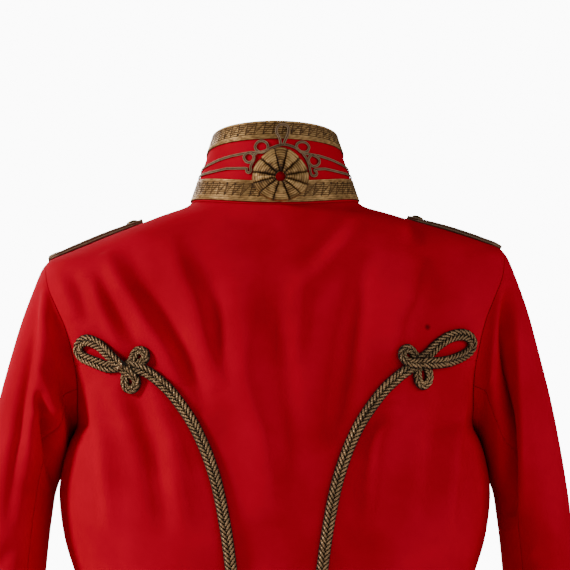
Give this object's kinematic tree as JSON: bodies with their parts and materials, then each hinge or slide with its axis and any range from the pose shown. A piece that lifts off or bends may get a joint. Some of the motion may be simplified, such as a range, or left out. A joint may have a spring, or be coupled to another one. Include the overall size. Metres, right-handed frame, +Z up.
{
  "type": "military dress tunic",
  "caption": "Scarlet dress tunic filled out as worn, hollow, with a laced stand collar, a pleated rosette, knotted back cords and plaited shoulder cords.",
  "frame": {"origin": "middle of the seam that joins the collar to the body", "axes": "+Z up, the fronts face -Y, the wearer's left is +X"},
  "size_m": [0.552, 0.2633, 0.7377],
  "materials": {
    "scarlet_cloth": "fulled wool cloth, matt",
    "gold_lace": "woven metal-thread lace, tarnished",
    "gold_braid": "fine metal-thread braid",
    "gimp_cord": "plaited metal-thread cord, tarnished",
    "button_brass": "gilt, worn"
  },
  "bodies": {
    "root": {"back": "scarlet_cloth", "back_cord_left": "gimp_cord", "back_cord_right": "gimp_cord", "collar": "scarlet_cloth", "collar_braid_lower_left": "gold_braid", "collar_braid_lower_right": "gold_braid", "collar_braid_upper_left": "gold_braid", "collar_braid_upper_right": "gold_braid", "collar_lace_bottom": "gold_lace", "collar_lace_top": "gold_lace", "collar_loop_large_left": "gold_braid", "collar_loop_large_right": "gold_braid", "collar_loop_middle_left": "gold_braid", "collar_loop_middle_right": "gold_braid", "collar_loop_small_left": "gold_braid", "collar_loop_small_right": "gold_braid", "collar_loop_top": "gold_braid", "collar_rosette": "gold_lace", "front_button_1": "button_brass", "front_button_2": "button_brass", "front_button_3": "button_brass", "front_button_4": "button_brass", "front_button_5": "button_brass", "front_button_6": "button_brass", "front_button_7": "button_brass", "front_button_8": "button_brass", "front_left": "scarlet_cloth", "front_right": "scarlet_cloth", "hip_button_left": "button_brass", "hip_button_right": "button_brass", "knot_over_left": "gimp_cord", "knot_over_right": "gimp_cord", "knot_under_left": "gimp_cord", "knot_under_right": "gimp_cord", "shoulder_button_left": "button_brass", "shoulder_button_right": "button_brass", "shoulder_cord_left": "gimp_cord", "shoulder_cord_right": "gimp_cord", "side_back_left": "scarlet_cloth", "side_back_right": "scarlet_cloth", "sleeve_under_left": "scarlet_cloth", "sleeve_under_right": "scarlet_cloth", "sleeve_upper_left": "scarlet_cloth", "sleeve_upper_right": "scarlet_cloth"}
  },
  "joints": []
}
